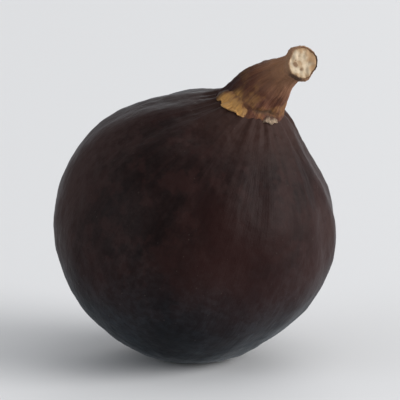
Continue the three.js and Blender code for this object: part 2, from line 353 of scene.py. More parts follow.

# %% [markdown]
# ## The stalk's course and widths
# A fig's stalk is short and stout. It widens into the neck, has a waist, and ends in a small knob where it
# was cut from the branch. A curve with a bevel would give a plain tube, so the tube is swept ring by ring
# along a curve: each ring may have its own width, and bark can be pressed into it.

# %% The stalk's path and its widths
STALK_PATH = np.array([(-0.6, -0.05, 18.8), (-0.6, -0.05, 23.8), (1.7, 0.4, 29.6), (4.5, -1.85, 32.2)])
STALK_WIDTHS = [  # half its width, and how far along it that is
    (4.6, 0.0), (4.55, 0.16), (4.1, 0.33), (3.3, 0.5), (2.4, 0.66),
    (2.0, 0.8), (2.25, 0.88), (2.5, 0.95), (2.3, 1.0),
]
STALK_LENGTH = 15.5


def stalk_middle(share):
    a, b, c, d = STALK_PATH
    t = np.asarray(share)[..., None]
    return (1 - t) ** 3 * a + 3 * (1 - t) ** 2 * t * b + 3 * (1 - t) * t**2 * c + t**3 * d


def stalk_forward(share):
    a, b, c, d = STALK_PATH
    t = np.asarray(share)[..., None]
    return unit((1 - t) ** 2 * (b - a) + 2 * (1 - t) * t * (c - b) + t**2 * (d - c))


def smooth_width(share):
    """Half the stalk's width, on a smooth curve that passes through all of the stated widths."""
    knots = np.array([STALK_WIDTHS[0], *STALK_WIDTHS, STALK_WIDTHS[-1]])
    t = np.linspace(0, 1, 25)[:-1, None]
    pieces = []
    for a, b, c, d in zip(knots, knots[1:], knots[2:], knots[3:]):
        out, into = (c - a) / 2, (d - b) / 2
        pieces.append((2 * t**3 - 3 * t**2 + 1) * b + (t**3 - 2 * t**2 + t) * out)
        pieces[-1] += (3 * t**2 - 2 * t**3) * c + (t**3 - t**2) * into
    curve = np.vstack([*pieces, knots[-1:]])
    return np.interp(share, curve[:, 1], curve[:, 0])


print(f"stalk about {STALK_LENGTH} mm long, {2 * smooth_width(0.8):.1f} mm wide at its waist")

# %% Rings round the stalk's path
STALK_SIDES, STALK_RINGS = 120, 130
FIRST_RING = 0.04  # where the first ring is on the path, well inside the fruit


def stalk_rings(shares, turns, half_width):
    """Points round the stalk's curve, in a frame that travels along it without twisting."""
    forward = stalk_forward(shares)
    side = unit(np.cross((0, 1, 0), forward))
    other = np.cross(forward, side)
    outward = side[:, None] * np.cos(turns)[None, :, None] + other[:, None] * np.sin(turns)[None, :, None]
    return stalk_middle(shares)[:, None] + outward * half_width[..., None]


stalk_share = np.linspace(FIRST_RING, 1, STALK_RINGS)
stalk_turn = ring_turns(STALK_SIDES)
plain_width = smooth_width(stalk_share)[:, None] * np.ones(STALK_SIDES)
plain_rings = stalk_rings(stalk_share, stalk_turn, plain_width)
print(f"the plain stalk has {STALK_RINGS} rings of {STALK_SIDES} points")

# %% [markdown]
# ## Where the bark differs
# The bark is ochre and dry where bracts once covered it. Three more places are painted shade: a dark red
# painted shadow on one flank of the foot, painted shade that makes the bark nearly black at two sides of the
# cut, and painted shade in a crease. The crease runs round the side that the stalk bends to, because bark
# folds there. Each of these is a share from 0 to 1 at every point. The crease is both a groove and a painted
# shade, so one function serves both.

# %% Dry places of the bark, and its painted shade
DRY_FOOT = [(260, 25, 2.0), (338, 16, 0.5), (122, 29, 1.6)]  # the side it faces, its spread, its height in mm
CREASE_FACES, CREASE_SPREAD = 322, 38
CREASE_AT, CREASE_WIDTH, CREASE_DEPTH = 0.75, 0.42, 0.42  # its height above the skin, its width and its depth
# A painted shadow, dark red, on one flank of the stalk's foot: the side it faces, its spread and its height.
SHADOW_FACES, SHADOW_SPREAD, SHADOW_HEIGHT = 214, 50, 5.8  # the side where the bark is dark red
# Painted shade at two sides of the cut end: where it is darkest and its spread, then where along the stalk it
# begins.
END_SHADE_SIDES = [(75, 42), (318, 36)]  # the sides of the cut end where the bark is darkest, and their spread
END_FROM, END_FADE = 0.9, 0.08  # where along the stalk that dark begins, and how fast
CREASE_RAGGED, FOOT_RAGGED, SHADOW_RAGGED = 0.12, 0.35, 0.6  # how ragged the edges of these places are, in mm


def turn_between(around, facing):
    return (around - facing + 180) % 360 - 180


def turned_from(points, facing):
    """How far round the fig the points lie from the side that faces this way, in degrees."""
    return turn_between(np.degrees(turn_of(points)), facing)


def above_skin(points):
    return np.linalg.norm(points, axis=-1) - fruit_radius(unit(points))


# The crease cuts a groove into the bark and also places the painted shade in it.
def crease_at(points):
    height = above_skin(points) - CREASE_RAGGED * soft_noise(points, 3, seed=38)
    return bell(height - CREASE_AT, CREASE_WIDTH) * bell(turned_from(points, CREASE_FACES), CREASE_SPREAD)


def foot_dryness(points):
    height = np.clip(above_skin(points), 0, None) + FOOT_RAGGED * soft_noise(points, 2.5, seed=37)
    dry = 0
    for facing, spread, high in DRY_FOOT:
        dry = np.maximum(dry, bell(turned_from(points, facing), spread) * bell(height, high))
    return dry


# The flank's painted shadow, as a share.
def flank_shadow_at(points):
    height = above_skin(points) + SHADOW_RAGGED * soft_noise(points, 3.5, seed=39)
    return bell(turned_from(points, SHADOW_FACES), SHADOW_SPREAD) * bell(np.clip(height, 0, None), SHADOW_HEIGHT)


# The cut end's painted shade, as a share.
def end_shade_at(share, turn):
    sides = 0
    for facing, spread in END_SHADE_SIDES:
        sides = np.maximum(sides, bell(turn_between(np.degrees(turn), facing), spread))
    return np.clip((share[:, None] - END_FROM) / END_FADE, 0, 1) * sides[None, :]


print(f"{np.mean(foot_dryness(plain_rings) > 0.5):.0%} of the bark's points are dry and ochre")

# %% [markdown]
# ## The bark's relief
# Bark has forms at several scales, and each has its own cause: broad ridges from the way the stalk grew,
# fibres and thin cords along it, small cracks across it where it dried, and lumps. The foot flares where it
# meets the skin, as if the fruit had pulled it out. All of this only changes the width of each ring.

# %% The bark's relief
BARK_RIDGES, BARK_RIDGE, RIDGE_FADE = 5, 0.06, 0.5
FIBRES, FIBRE_HEIGHT, FIBRE_WIDTH, FIBRE_VALLEY, FIBRE_FADE = 22, 0.1, 0.5, 0.4, 0.6
CORDS, CORD_HEIGHT = 31, 0.022
CRACKS, CRACK_DEPTH = 17, 0.022
FIBRE_WANDER, CORD_WANDER, CRACK_WANDER = 0.5, 2.2, 2.5
BARK_LUMPS = [(3.6, 0.09), (1.4, 0.035)]
FLARE, FLARE_FADE = 0.15, 0.5  # the foot widens by this much where it meets the skin, and this fast


def bark_width():
    up = stalk_share[:, None]
    ridged = 1 + BARK_RIDGE * np.cos(BARK_RIDGES * stalk_turn) * (1 - RIDGE_FADE * up)
    waver = FIBRE_WANDER * soft_noise(plain_rings, 4, seed=31)
    fibre = bell(np.sin(FIBRES / 2 * stalk_turn + waver), FIBRE_WIDTH) - FIBRE_VALLEY
    cord = np.cos(CORDS * stalk_turn + CORD_WANDER * soft_noise(plain_rings, 5, seed=32))
    crack = np.cos(2 * np.pi * up * CRACKS + CRACK_WANDER * soft_noise(plain_rings, 3, seed=33))
    cracked = uneven(plain_rings, usual=0.3, strength=1, wavelength=3.5, seed=34, least=0, most=1.4)
    relief = FIBRE_HEIGHT * fibre * (1 - FIBRE_FADE * up) + CORD_HEIGHT * cord + CRACK_DEPTH * crack * cracked
    for seed, (width, height) in enumerate(BARK_LUMPS, start=35):
        relief = relief + height * soft_noise(plain_rings, width, seed)
    flare = FLARE * np.exp(-np.clip(above_skin(plain_rings), 0, None) / FLARE_FADE)
    return plain_width * ridged + relief + flare - CREASE_DEPTH * crease_at(plain_rings)


bark_table = bark_width()
bark_rings = stalk_rings(stalk_share, stalk_turn, bark_table)
print(f"the bark's relief reaches {np.abs(bark_table - plain_width).max():.2f} mm")

# %% [markdown]
# ## The rim of the cut
# A knife leaves a thin lip of bark round the pith, and the lip curls a little as it dries. It is made as a
# few more rings that go over the edge and down inside it, so that the pale face can lie within the bark.

# %% The bark with its rim
RIM_RINGS, RIM_WIDTH, RIM_CURL = 5, 0.06, 0.16
HEM_WIDTH, HEM_DEPTH = 0.05, 0.5  # how the rim goes on inwards and down, under the pale face
RIM_FLOW = 0.01  # how much farther along the stalk each ring of the rim counts

cut_middle = stalk_middle(1.0)
cut_forward = stalk_forward(1.0)
edge_ring = bark_rings[-1]
to_middle = cut_middle - edge_ring
rim_rings = []
for s in np.linspace(0, 1, RIM_RINGS + 1)[1:]:
    curled = RIM_CURL * math.sin(s * math.pi * 0.75)
    rim_rings.append(edge_ring + to_middle * RIM_WIDTH * s + cut_forward * curled)
for s in (0.5, 1.0):
    rim_rings.append(rim_rings[RIM_RINGS - 1] + to_middle * HEM_WIDTH * s - cut_forward * HEM_DEPTH * s)
all_rings = np.concatenate([bark_rings, np.array(rim_rings)])
stalk_points = stack(stalk_middle(0.0), all_rings, cut_middle - cut_forward * HEM_DEPTH)
ring_share = np.concatenate([stalk_share, 1 + RIM_FLOW * np.arange(len(rim_rings))])
stalk_flow = np.column_stack([
    np.tile(np.cos(stalk_turn), len(all_rings)),
    np.tile(np.sin(stalk_turn), len(all_rings)),
    np.repeat(ring_share, STALK_SIDES),
])
# The bark carries its dryness and three painted shades: the flank's painted shadow, the cut end's painted
# shade and the crease's painted shade.
stalk = new_piece(
    "stalk_bark",
    stalk_points,
    ring_faces(len(all_rings), STALK_SIDES),
    skin_flow=np.vstack([[(1, 0, 0)], stalk_flow, [(1, 0, 1)]]),
    dry_foot=foot_dryness(stalk_points),
    dark_flank=flank_shadow_at(stalk_points),
    dark_end=np.concatenate([[0], end_shade_at(ring_share, stalk_turn).ravel(), [0]]),
    crease=crease_at(stalk_points),
)
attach(stalk, "root")
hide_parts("stalk")

# %% [markdown]
# ## The cut end
# Where the knife went through, the stalk shows cream-coloured pith inside a thin dark ring of bark. Between
# them sit the dark ends of the vessels that fed the fruit, in an uneven ring. The face has dried since, so
# it is sunk a little in the middle, and each vessel end is a small pit. It is a round sheet of its own, so
# that the vessel ends can be both dark and sunk in exactly the same places.

# %% The vessel ends and the tan side
CUT_SIDES, CUT_RINGS = 120, 34
# Each vessel end: its turn round the face, how far out it lies, its size as a share of the face, its depth.
VESSELS = [
    (266, 0.53, 0.2, 0.95), (240, 0.55, 0.12, 0.6), (333, 0.42, 0.13, 0.65), (20, 0.5, 0.12, 0.35),
    (82, 0.46, 0.12, 0.4), (128, 0.52, 0.11, 0.3), (196, 0.48, 0.12, 0.45), (300, 0.66, 0.1, 0.35),
]
VESSEL_RAGGED, TAN_SIDE_RAGGED = 0.25, 0.16
TAN_SIDE = 85
UNDER_RIM = 0.02  # how far the face reaches under the rim, as a share of the way to the middle

cut_out = np.linspace(0, 1, CUT_RINGS + 1)[1:]
cut_turn = ring_turns(CUT_SIDES)
cut_edge = edge_ring + to_middle * (RIM_WIDTH - UNDER_RIM)
flat_rings = cut_middle + (cut_edge - cut_middle)[None] * cut_out[:, None, None]
spot = np.stack([cut_out[:, None] * np.cos(cut_turn), cut_out[:, None] * np.sin(cut_turn)], axis=-1)
vessel = np.zeros(spot.shape[:2])
for turn, out, size, deep in VESSELS:
    middle = out * np.array([math.cos(math.radians(turn)), math.sin(math.radians(turn))])
    off = np.linalg.norm(spot - middle, axis=-1) * (1 + VESSEL_RAGGED * soft_noise(flat_rings, 0.9, seed=73))
    vessel = np.maximum(vessel, deep * bell(off, size))
yellowed = np.clip(0.5 + 0.5 * np.cos(cut_turn - math.radians(TAN_SIDE)), 0, 1) ** 1.5 * cut_out[:, None]
yellowed = np.clip(yellowed + TAN_SIDE_RAGGED * soft_noise(flat_rings, 1.3, seed=74), 0, 1)
print(f"the cut end is {2 * np.linalg.norm(cut_edge - cut_middle, axis=1).mean():.1f} mm across")

# %% The cut end's face
DRIED_MIDDLE, DRIED_SPREAD, CENTRE_DEPTH = 0.16, 0.55, 0.12
VESSEL_PIT, PITH_LUMPS = 0.13, 0.05
PROUD, EDGE_DROP, EDGE_FROM = 0.05, 0.25, 0.93  # the face stands up a little, and its edge goes under the rim

sunk = -DRIED_MIDDLE * bell(cut_out, DRIED_SPREAD)[:, None] - VESSEL_PIT * vessel
sunk = sunk + PITH_LUMPS * soft_noise(flat_rings, 1.1, seed=72)
sunk = sunk + PROUD - EDGE_DROP * np.clip((cut_out[:, None] - EDGE_FROM) / (1 - EDGE_FROM), 0, 1)
cut_rings = flat_rings + cut_forward * sunk[..., None]
cut_face = new_piece(
    "stalk_cut_end",
    np.vstack([[cut_middle - CENTRE_DEPTH * cut_forward], cut_rings.reshape(-1, 3)]),
    ring_faces(CUT_RINGS, CUT_SIDES)[:-CUT_SIDES],
    vessel_end=np.concatenate([[0], vessel.ravel()]),
    from_middle=np.concatenate([[0], np.repeat(cut_out, CUT_SIDES)]),
    yellowed=np.concatenate([[0], yellowed.ravel()]),
)
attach(cut_face, "root")
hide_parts("stalk")

# %% [markdown]
# ## The surface that the bracts lie on
# Three small bracts clasp the stalk's foot, the last leaf-like scales before the fruit. Each lies down the
# stalk's wall, bends at the corner and goes on over the skin. A shrinkwrap modifier could press a sheet onto
# both, but it leaves such a corner ragged. So the sheet asks the forms themselves: how wide the bark is at
# any place, how deep a point lies in it, and how far from the neck's axis its wall stands.

# %% The stalk's wall round the neck
WALL_NEAREST, WALL_FARTHEST, WALL_STEPS = 4, 17, 131  # where the wall is looked for, in degrees from the axis


def bark_half_width(share, turn):
    """The stalk's half width at any place on it, read between the points of the bark's mesh."""
    row = np.clip((share - stalk_share[0]) / (stalk_share[1] - stalk_share[0]), 0, STALK_RINGS - 1.001)
    column = turn / (2 * np.pi) * STALK_SIDES % STALK_SIDES
    up, over = row.astype(int), column.astype(int) % STALK_SIDES
    beside = (over + 1) % STALK_SIDES
    low = bark_table[up, over] + (bark_table[up, beside] - bark_table[up, over]) * (column % 1)
    high = bark_table[up + 1, over] + (bark_table[up + 1, beside] - bark_table[up + 1, over]) * (column % 1)
    return low + (high - low) * (row - up)


def depth_in_bark(points):
    """How deep inside the stalk the points are, or below nought outside it."""
    known = np.linspace(0, 1, 200)
    share = np.interp(points[..., 2], stalk_middle(known)[:, 2], known)
    for _ in range(4):
        forward = stalk_forward(share)
        ahead = ((points - stalk_middle(share)) * forward).sum(-1)
        share = np.clip(share + ahead / STALK_LENGTH, 0, 1)
    off = points - stalk_middle(share)
    side = unit(np.cross((0, 1, 0), forward))
    right, up = (off * side).sum(-1), (off * np.cross(forward, side)).sum(-1)
    return bark_half_width(share, np.arctan2(up, right)) - np.hypot(right, up)


def wall_at(around, height):
    """How far from the neck's axis the stalk's side is, in degrees, at these heights above the skin."""
    from_neck = np.linspace(WALL_NEAREST, WALL_FARTHEST, WALL_STEPS)
    way = way_at(from_neck[:, None], around)[:, None]
    depth = depth_in_bark(way * (skin_at(way) + height)[..., None])
    last = len(from_neck) - 1 - np.argmax(depth[::-1] > 0, axis=0)
    here = np.take_along_axis(depth, last[None], 0)[0]
    beyond = np.take_along_axis(depth, last[None] + 1, 0)[0]
    return from_neck[last] + (from_neck[1] - from_neck[0]) * here / (here - beyond)


foot_wall = wall_at(np.arange(0.0, 360.0, 30.0), np.zeros((1, 1)))
print(f"the wall meets the skin {foot_wall.min():.1f} to {foot_wall.max():.1f} degrees from the neck's axis")

# %% [markdown]
# ## The bed of a bract
# A bract covers a patch that is half on the wall and half on the skin. Its bed is made line by line: down
# the wall, then out over the skin to a ragged edge. Each line is then walked again in even steps and its
# corner softened, because a dry sheet bends in a curve where the wall meets the skin.

# %% The bed that one bract lies on
BRACT_ACROSS, BRACT_ALONG = 110, 44
BRACT_RING, RING_SLANT, SLANT_TOWARDS = 10.3, 1.3, 218  # the ring on the neck that the bracts grow from
LEAST_REACH, ON_SKIN = 0.6, 0.5  # a bract's reach at its sides, and the least of it that is on the skin
WALL_ROWS, CORNER_SOFTENING = 14, 8
BRACT_SEED = 80
RAGGED_EDGE = 0.0055  # how ragged the free edge is, for every degree of the bract's half width


def evenly_along(lines, count):
    """Each column of points as a line, walked again in even steps."""
    steps = np.linalg.norm(np.diff(lines, axis=0), axis=-1)
    walked = np.vstack([np.zeros(lines.shape[1]), np.cumsum(steps, axis=0)])
    stops = np.linspace(0, 1, count)
    even = [
        [np.interp(stops * walked[-1, i], walked[:, i], lines[:, i, axis]) for axis in range(3)]
        for i in range(lines.shape[1])
    ]
    return np.array(even).transpose(2, 0, 1)


def bract_bed(facing, reach, half_width, climb, seed):
    """A bract's bed, as rows of points that run across it from its root to its free edge."""
    across = np.linspace(-1, 1, BRACT_ACROSS)
    around = facing + half_width * across
    nibbled = soft_noise(np.stack([across * 3, across * 0 + seed, across * 0], -1), 1.6, seed)
    ring = BRACT_RING + RING_SLANT * np.cos(np.radians(around - SLANT_TOWARDS))
    longest = reach - LEAST_REACH + RAGGED_EDGE * half_width * nibbled
    edge = ring + LEAST_REACH + longest * (1 - np.abs(across) ** 1.5)
    height = climb * np.linspace(1, 0, WALL_ROWS)[:, None] * np.sqrt(1 - 0.9 * across**2)
    wall = wall_at(around, height)
    on_wall = way_at(wall, around)
    on_wall = on_wall * (skin_at(on_wall) + height)[..., None]
    outward = np.linspace(0, 1, BRACT_ALONG)[1:, None]
    on_skin = way_at(wall[-1] + (np.maximum(edge, wall[-1] + ON_SKIN) - wall[-1]) * outward, around)
    on_skin = on_skin * skin_at(on_skin)[..., None]
    lying = evenly_along(np.vstack([on_wall, on_skin]), BRACT_ALONG)
    for _ in range(CORNER_SOFTENING):
        lying[1:-1] = (lying[:-2] + 2 * lying[1:-1] + lying[2:]) / 4
    return lying


# Each bract: the side it faces, its reach and its half width in degrees, and how high it climbs in mm.
BRACTS = [(250, 3.2, 41, 1.9), (338, 2.8, 19, 0.5), (122, 3.8, 42, 1.7)]
bract_beds = [bract_bed(*shape, BRACT_SEED + number) for number, shape in enumerate(BRACTS, start=1)]
print("beds for the bracts:", [bed.shape[:2] for bed in bract_beds])

# %% [markdown]
# ## Sheets with two sides
# The bracts and the scales of the eye are thin sheets, and a sheet needs a top, an under side and an edge all
# round. A solidify modifier would give it one thickness everywhere, but a dry scale is thick at its root and
# thin at its tip. So each sheet below works out both of its sides, and these helpers join them.

# %% Closed sheets
def sheet_faces(rows, columns):
    """Faces of a closed sheet: its top, its under side and the edge that joins them all round."""
    top = np.arange(rows * columns).reshape(rows, columns)
    under = top + rows * columns
    quads = np.stack([top[:-1, :-1], top[1:, :-1], top[1:, 1:], top[:-1, 1:]], -1).reshape(-1, 4)
    below = np.stack([under[:-1, :-1], under[:-1, 1:], under[1:, 1:], under[1:, :-1]], -1).reshape(-1, 4)
    border = np.concatenate([top[0, :-1], top[:-1, -1], top[-1, :0:-1], top[:0:-1, 0]])
    nearby = np.roll(border, -1)
    edge = np.stack([border, nearby, nearby + rows * columns, border + rows * columns], -1)
    return np.concatenate([quads, below, edge]).tolist()


def sheet_points(top, under, across, along, number):
    """The points of a closed sheet, and the lengthwise direction that each of them carries."""
    flow = np.stack(np.broadcast_arrays(across, float(number), along), axis=-1).reshape(-1, 3)
    return np.concatenate([top.reshape(-1, 3), under.reshape(-1, 3)]), np.concatenate([flow, flow])


print("a closed sheet of 4 by 5 points has", len(sheet_faces(4, 5)), "faces")

# %% [markdown]
# ## The bracts
# A dry bract swells slowly out of the bark, its root and sides stay set into it, a rib runs down its middle
# with fine fibres beside it, and its free edge lifts. All of that is a height above its bed.

# %% One bract as a sheet
BRACT_THICKNESS, BRACT_THINNEST = 0.36, 0.12
ROOTED = 0.5  # the share of its length over which a bract swells out of the bark
SUNK = 0.3  # how deep its root and its sides are set into the bark, in mm
BRACT_RIB, BRACT_RIB_WIDTH, BRACT_LUMPS = 0.08, 0.2, 0.022
BRACT_LIFT, UNDER_LIFT = 0.22, 0.1
BRACT_FIBRES = [(21, 0.03, 1), (47, 0.018, -1.3)]  # how many, how high, and how much they waver


def bract_sheet(lying, number):
    seed = BRACT_SEED + number
    across = np.linspace(-1, 1, BRACT_ACROSS)[None, :]
    along = np.linspace(0, 1, BRACT_ALONG)[:, None]
    normal = unit(np.cross(np.gradient(lying, axis=0), np.gradient(lying, axis=1)))
    normal = normal * np.sign((normal * lying).sum())
    waver = 1.5 * soft_noise(lying, 3.5, seed + 60)
    fibre = sum(high * np.cos(count * across + bend * waver) for count, high, bend in BRACT_FIBRES)
    rib = BRACT_RIB * bell(across, BRACT_RIB_WIDTH) * (1 - along**2) * along
    lift = BRACT_LIFT * along**5 * (1 - across**2)
    grown = np.clip(along / ROOTED, 0, 1)
    grown = grown**2 * (3 - 2 * grown)
    body = BRACT_THICKNESS * np.clip(1 - across**4, 0, 1) * grown * (1 - 0.5 * along**2)
    height = body - SUNK * np.maximum(1 - grown, across**8) + rib + fibre * np.sqrt(along) + lift
    height = height + BRACT_LUMPS * grown * soft_noise(lying, 2.1, seed + 50)
    top = lying + normal * height[..., None]
    under = lying + normal * np.minimum(height - BRACT_THINNEST, lift - UNDER_LIFT)[..., None]
    return sheet_points(top, under, across, along, number)


print(f"bracts at most {BRACT_THICKNESS} mm thick, with ribs {BRACT_RIB} mm high")

# %% The three bracts
bracts = []
for number, bed in enumerate(bract_beds, start=1):
    points, flow = bract_sheet(bed, number)
    faces = sheet_faces(BRACT_ALONG, BRACT_ACROSS)
    # The bracts take the flank's painted shadow too.
    bract = new_piece(f"bract_{number}", points, faces, skin_flow=flow, dark_flank=flank_shadow_at(points))
    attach(bract, "root")
    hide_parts("stalk")
    bracts.append(bract)

# %% [markdown]
# ## One scale of the eye
# At the far end the fig has a small opening, and rings of tiny dry scales close it like the petals of a bud.
# One scale is a cupped, pointed sheet with a low keel. It is made lying flat with its root at nought, so that
# it is easy to lay down and tip up afterwards.

# %% One scale as a sheet
SCALE_ACROSS, SCALE_ALONG = 17, 15
SCALE_THICKNESS, SCALE_EDGE = 0.42, 0.05
SCALE_CUP, SCALE_KEEL, SCALE_LUMPS = 0.22, 0.05, 0.03
SCALE_ROOT = 0.15  # the share of its length that lies behind its root


def scale_sheet(length, width, seed):
    across = np.linspace(-1, 1, SCALE_ACROSS)[None, :]
    along = np.linspace(0, 1, SCALE_ALONG)[:, None]
    # Its outline widens a little from the root, and then closes in a rounded point.
    half = 0.5 * width * (0.62 + 0.75 * along - 0.15 * along**2) * np.sqrt(np.clip(1 - along**2.6, 0, 1))
    x = length * (-SCALE_ROOT + (1 + SCALE_ROOT) * along) + 0 * across
    y = half * across
    cupped = SCALE_CUP * width * (1 - across**2) * np.sin(np.pi * np.clip(along * 0.8 + 0.15, 0, 1))
    keel = SCALE_KEEL * bell(across, 0.2) * (1 - along)
    z = cupped + keel + SCALE_LUMPS * soft_noise(np.stack([x, y, x * 0], -1), 0.8, seed)
    thin = SCALE_THICKNESS * (1 - 0.75 * along) * (1 - 0.7 * across**2)
    top = np.stack([x, y, z], -1)
    under = np.stack([x, y, z - thin - SCALE_EDGE], -1)
    return sheet_points(top, under, across, along, seed)


eye_floor = float(fruit_radius(np.array([0, 0, -1.0])))
eye_place = standing @ Matrix.Translation((0, 0, -eye_floor * MM)) @ Matrix.Rotation(math.pi, 4, "X")
print(f"the eye's dimple is {eye_floor:.1f} mm from the belly's middle")

# %% [markdown]
# ## The eye
# Copies of the scale are laid in three rings, each ring steeper and smaller than the one outside it. An array
# modifier would turn one copy exactly into the next. A loop with a small seeded draw for each scale makes
# them differ in length, turn and tilt, as grown scales do.

# %% Three rings of scales
EYE_WHORLS = [
    {"count": 6, "root": 3.3, "length": 2.9, "width": 3.3, "rise": 12, "lift": 0.15, "start": 10},
    {"count": 5, "root": 2.3, "length": 2.0, "width": 2.4, "rise": 24, "lift": 0.3, "start": 44},
    {"count": 4, "root": 1.3, "length": 1.15, "width": 1.5, "rise": 42, "lift": 0.45, "start": 20},
]
SCALE_TWIST, EYE_SEED = 7, 100
UNLIKE_LENGTH, UNLIKE_TURN, UNLIKE_RISE = 0.1, 5, 4  # how much one scale may differ from the next

eye_points, eye_faces, eye_flow = [], [], []
for whorl, ring in enumerate(EYE_WHORLS):
    for i in range(ring["count"]):
        seed = EYE_SEED + 10 * whorl + i
        lots = np.random.default_rng(seed).uniform(-1, 1, 3)
        length = ring["length"] * (1 + UNLIKE_LENGTH * lots[0])
        points, flow = scale_sheet(length, ring["width"], seed)
        turn = math.radians(ring["start"] + 360 / ring["count"] * i + UNLIKE_TURN * lots[1])
        laid = Matrix.Rotation(turn, 3, "Z") @ Matrix.Rotation(math.pi, 3, "Z")
        tipped = Matrix.Rotation(math.radians(SCALE_TWIST), 3, "X")
        tipped = tipped @ Matrix.Rotation(-math.radians(ring["rise"] + UNLIKE_RISE * lots[2]), 3, "Y")
        points = points @ np.array(tipped).T @ np.array(laid).T
        root = np.array([math.cos(turn) * ring["root"], math.sin(turn) * ring["root"], ring["lift"]])
        offset = len(eye_points) * len(points)
        eye_points.append(points + root)
        eye_faces += (np.array(sheet_faces(SCALE_ALONG, SCALE_ACROSS)) + offset).tolist()
        eye_flow.append(flow)
eye_scales = new_piece(
    "eye_scales_fine", np.concatenate(eye_points), eye_faces, eye_place, skin_flow=np.concatenate(eye_flow)
)
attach(eye_scales, "root")
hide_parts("eye_scales")

# %% [markdown]
# ## The cushion under the scales
# Between the innermost scales one can look a little way in, and sees more dry scale. A small low cushion
# with a fluted edge fills the dimple there, so that no gap shows the bare skin.

# %% The eye's cushion
CORE_RADIUS, CORE_HEIGHT, CORE_SUNK, CORE_FOOT = 3.1, 0.6, 0.15, -0.4
CORE_RINGS, CORE_SIDES = 18, 48
FLUTES, FLUTE_HEIGHT = 9, 0.05

core_share = np.linspace(0, 1, CORE_RINGS + 1)[1:, None]
core_turn = ring_turns(CORE_SIDES)
core_out = CORE_RADIUS * core_share + 0 * core_turn
core_high = CORE_HEIGHT * np.cos(core_share * np.pi / 2) - CORE_SUNK
core_high = core_high + FLUTE_HEIGHT * np.cos(FLUTES * core_turn)
core_rings = np.stack([core_out * np.cos(core_turn), core_out * np.sin(core_turn), core_high], -1)
core_points = stack((0, 0, CORE_HEIGHT - CORE_SUNK), core_rings, (0, 0, CORE_FOOT))
level = 0 * core_points[:, 2]
core_flow = np.column_stack([core_points[:, 0] / CORE_RADIUS, level + 99, level])
core_faces = ring_faces(CORE_RINGS, CORE_SIDES)
eye_core = new_piece("eye_cushion", core_points, core_faces, eye_place, skin_flow=core_flow)
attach(eye_core, "root")
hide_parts("eye_scales")

# %% [markdown]
# ## Helpers for materials
# A finish here is a small network of shader nodes. Writing such networks line by line gets long, so a few
# helpers make it short. One adds a node and sets its inputs, which may be plain values or other nodes'
# outputs. The others are the steps that every finish repeats: calculate, stretch a value, blend two colours,
# and lay a colour over another where some value is high. A noise scale says how many bumps there are in a
# metre, so a scale of 48 gives clouds about 20 mm wide.

# %% Node helpers
def feed(tree, node, inputs):
    for key, value in dict(inputs).items():
        if isinstance(value, bpy.types.NodeSocket):
            tree.links.new(value, node.inputs[key])
        else:
            node.inputs[key].default_value = value


def add_node(tree, kind, inputs=(), **settings):
    node = tree.nodes.new("ShaderNode" + kind)
    for key, value in settings.items():
        setattr(node, key, value)
    feed(tree, node, inputs)
    return node


def math_node(tree, operation, a, b=0.0):
    return add_node(tree, "Math", {0: a, 1: b}, operation=operation).outputs[0]


def times(tree, value, *others):
    for other in others:
        value = math_node(tree, "MULTIPLY", value, other)
    return value


def plus(tree, value, *others):
    for other in others:
        value = math_node(tree, "ADD", value, other)
    return value


def ramp(tree, value, low, high, to_low=0.0, to_high=1.0):
    """Stretches the part of a value between low and high over a new range, with soft ends."""
    inputs = {"Value": value, "From Min": low, "From Max": high, "To Min": to_low, "To Max": to_high}
    return add_node(tree, "MapRange", inputs, interpolation_type="SMOOTHSTEP").outputs[0]


def blend_colors(tree, amount, under, over):
    inputs = {0: amount, 6: under, 7: over}
    return add_node(tree, "Mix", inputs, data_type="RGBA", blend_type="MIX").outputs[2]


def tinted(tree, under, over, value, low, high, to_low=0.0, to_high=1.0):
    """Lays the second colour over the first by as much as the stretched value says."""
    return blend_colors(tree, ramp(tree, value, low, high, to_low, to_high), under, over)


def noise_at(tree, place, scale, detail, roughness=0.5):
    inputs = {"Vector": place, "Scale": scale, "Detail": detail, "Roughness": roughness}
    return add_node(tree, "TexNoise", inputs).outputs[0]


def parts_of(tree, vector):
    return add_node(tree, "SeparateXYZ", {0: vector}).outputs


print("node helpers:", [helper.__name__ for helper in (times, plus, ramp, blend_colors, tinted, noise_at)])

# %% [markdown]
# ## What a finish reads, and how groups are made
# A finish reads three things: its place on the object in metres, the lengthwise direction that each piece
# carries, and the shares that the meshes brought along. An effect that several finishes use is a node group
# with named inputs and outputs, so that it is built once and each finish only gives its own amounts.

# %% Readers and group helpers
def object_place(tree):
    return add_node(tree, "TexCoord").outputs["Object"]


def flow_of(tree):
    """The lengthwise direction: the turn round the piece as two numbers, and how far along it is."""
    return add_node(tree, "Attribute", attribute_name="skin_flow").outputs["Vector"]


def carried(tree, name):
    """A share from 0 to 1 that the mesh carries as an attribute of this name."""
    return add_node(tree, "Attribute", attribute_name=name).outputs["Fac"]


def new_group(name, inputs, outputs):
    """An empty shader group. Inputs are (name, kind, usual value) and outputs are (name, kind)."""
    group = bpy.data.node_groups.new(name, "ShaderNodeTree")
    for label, kind, usual in inputs:
        socket = group.interface.new_socket(label, in_out="INPUT", socket_type="NodeSocket" + kind)
        if usual is not None:
            socket.default_value = usual
    for label, kind in outputs:
        group.interface.new_socket(label, in_out="OUTPUT", socket_type="NodeSocket" + kind)
    print(f"group {name}: {len(inputs)} inputs, {len(outputs)} outputs")
    return group, group.nodes.new("NodeGroupInput").outputs, group.nodes.new("NodeGroupOutput").inputs


def place_group(tree, group, inputs):
    node = tree.nodes.new("ShaderNodeGroup")
    node.node_tree = group
    feed(tree, node, inputs)
    return node.outputs


for piece in (fruit, stalk, cut_face, bracts[0]):
    shares = sorted(a.name for a in piece.data.attributes if a.data_type == "FLOAT")
    print(piece.name, "carries", shares)

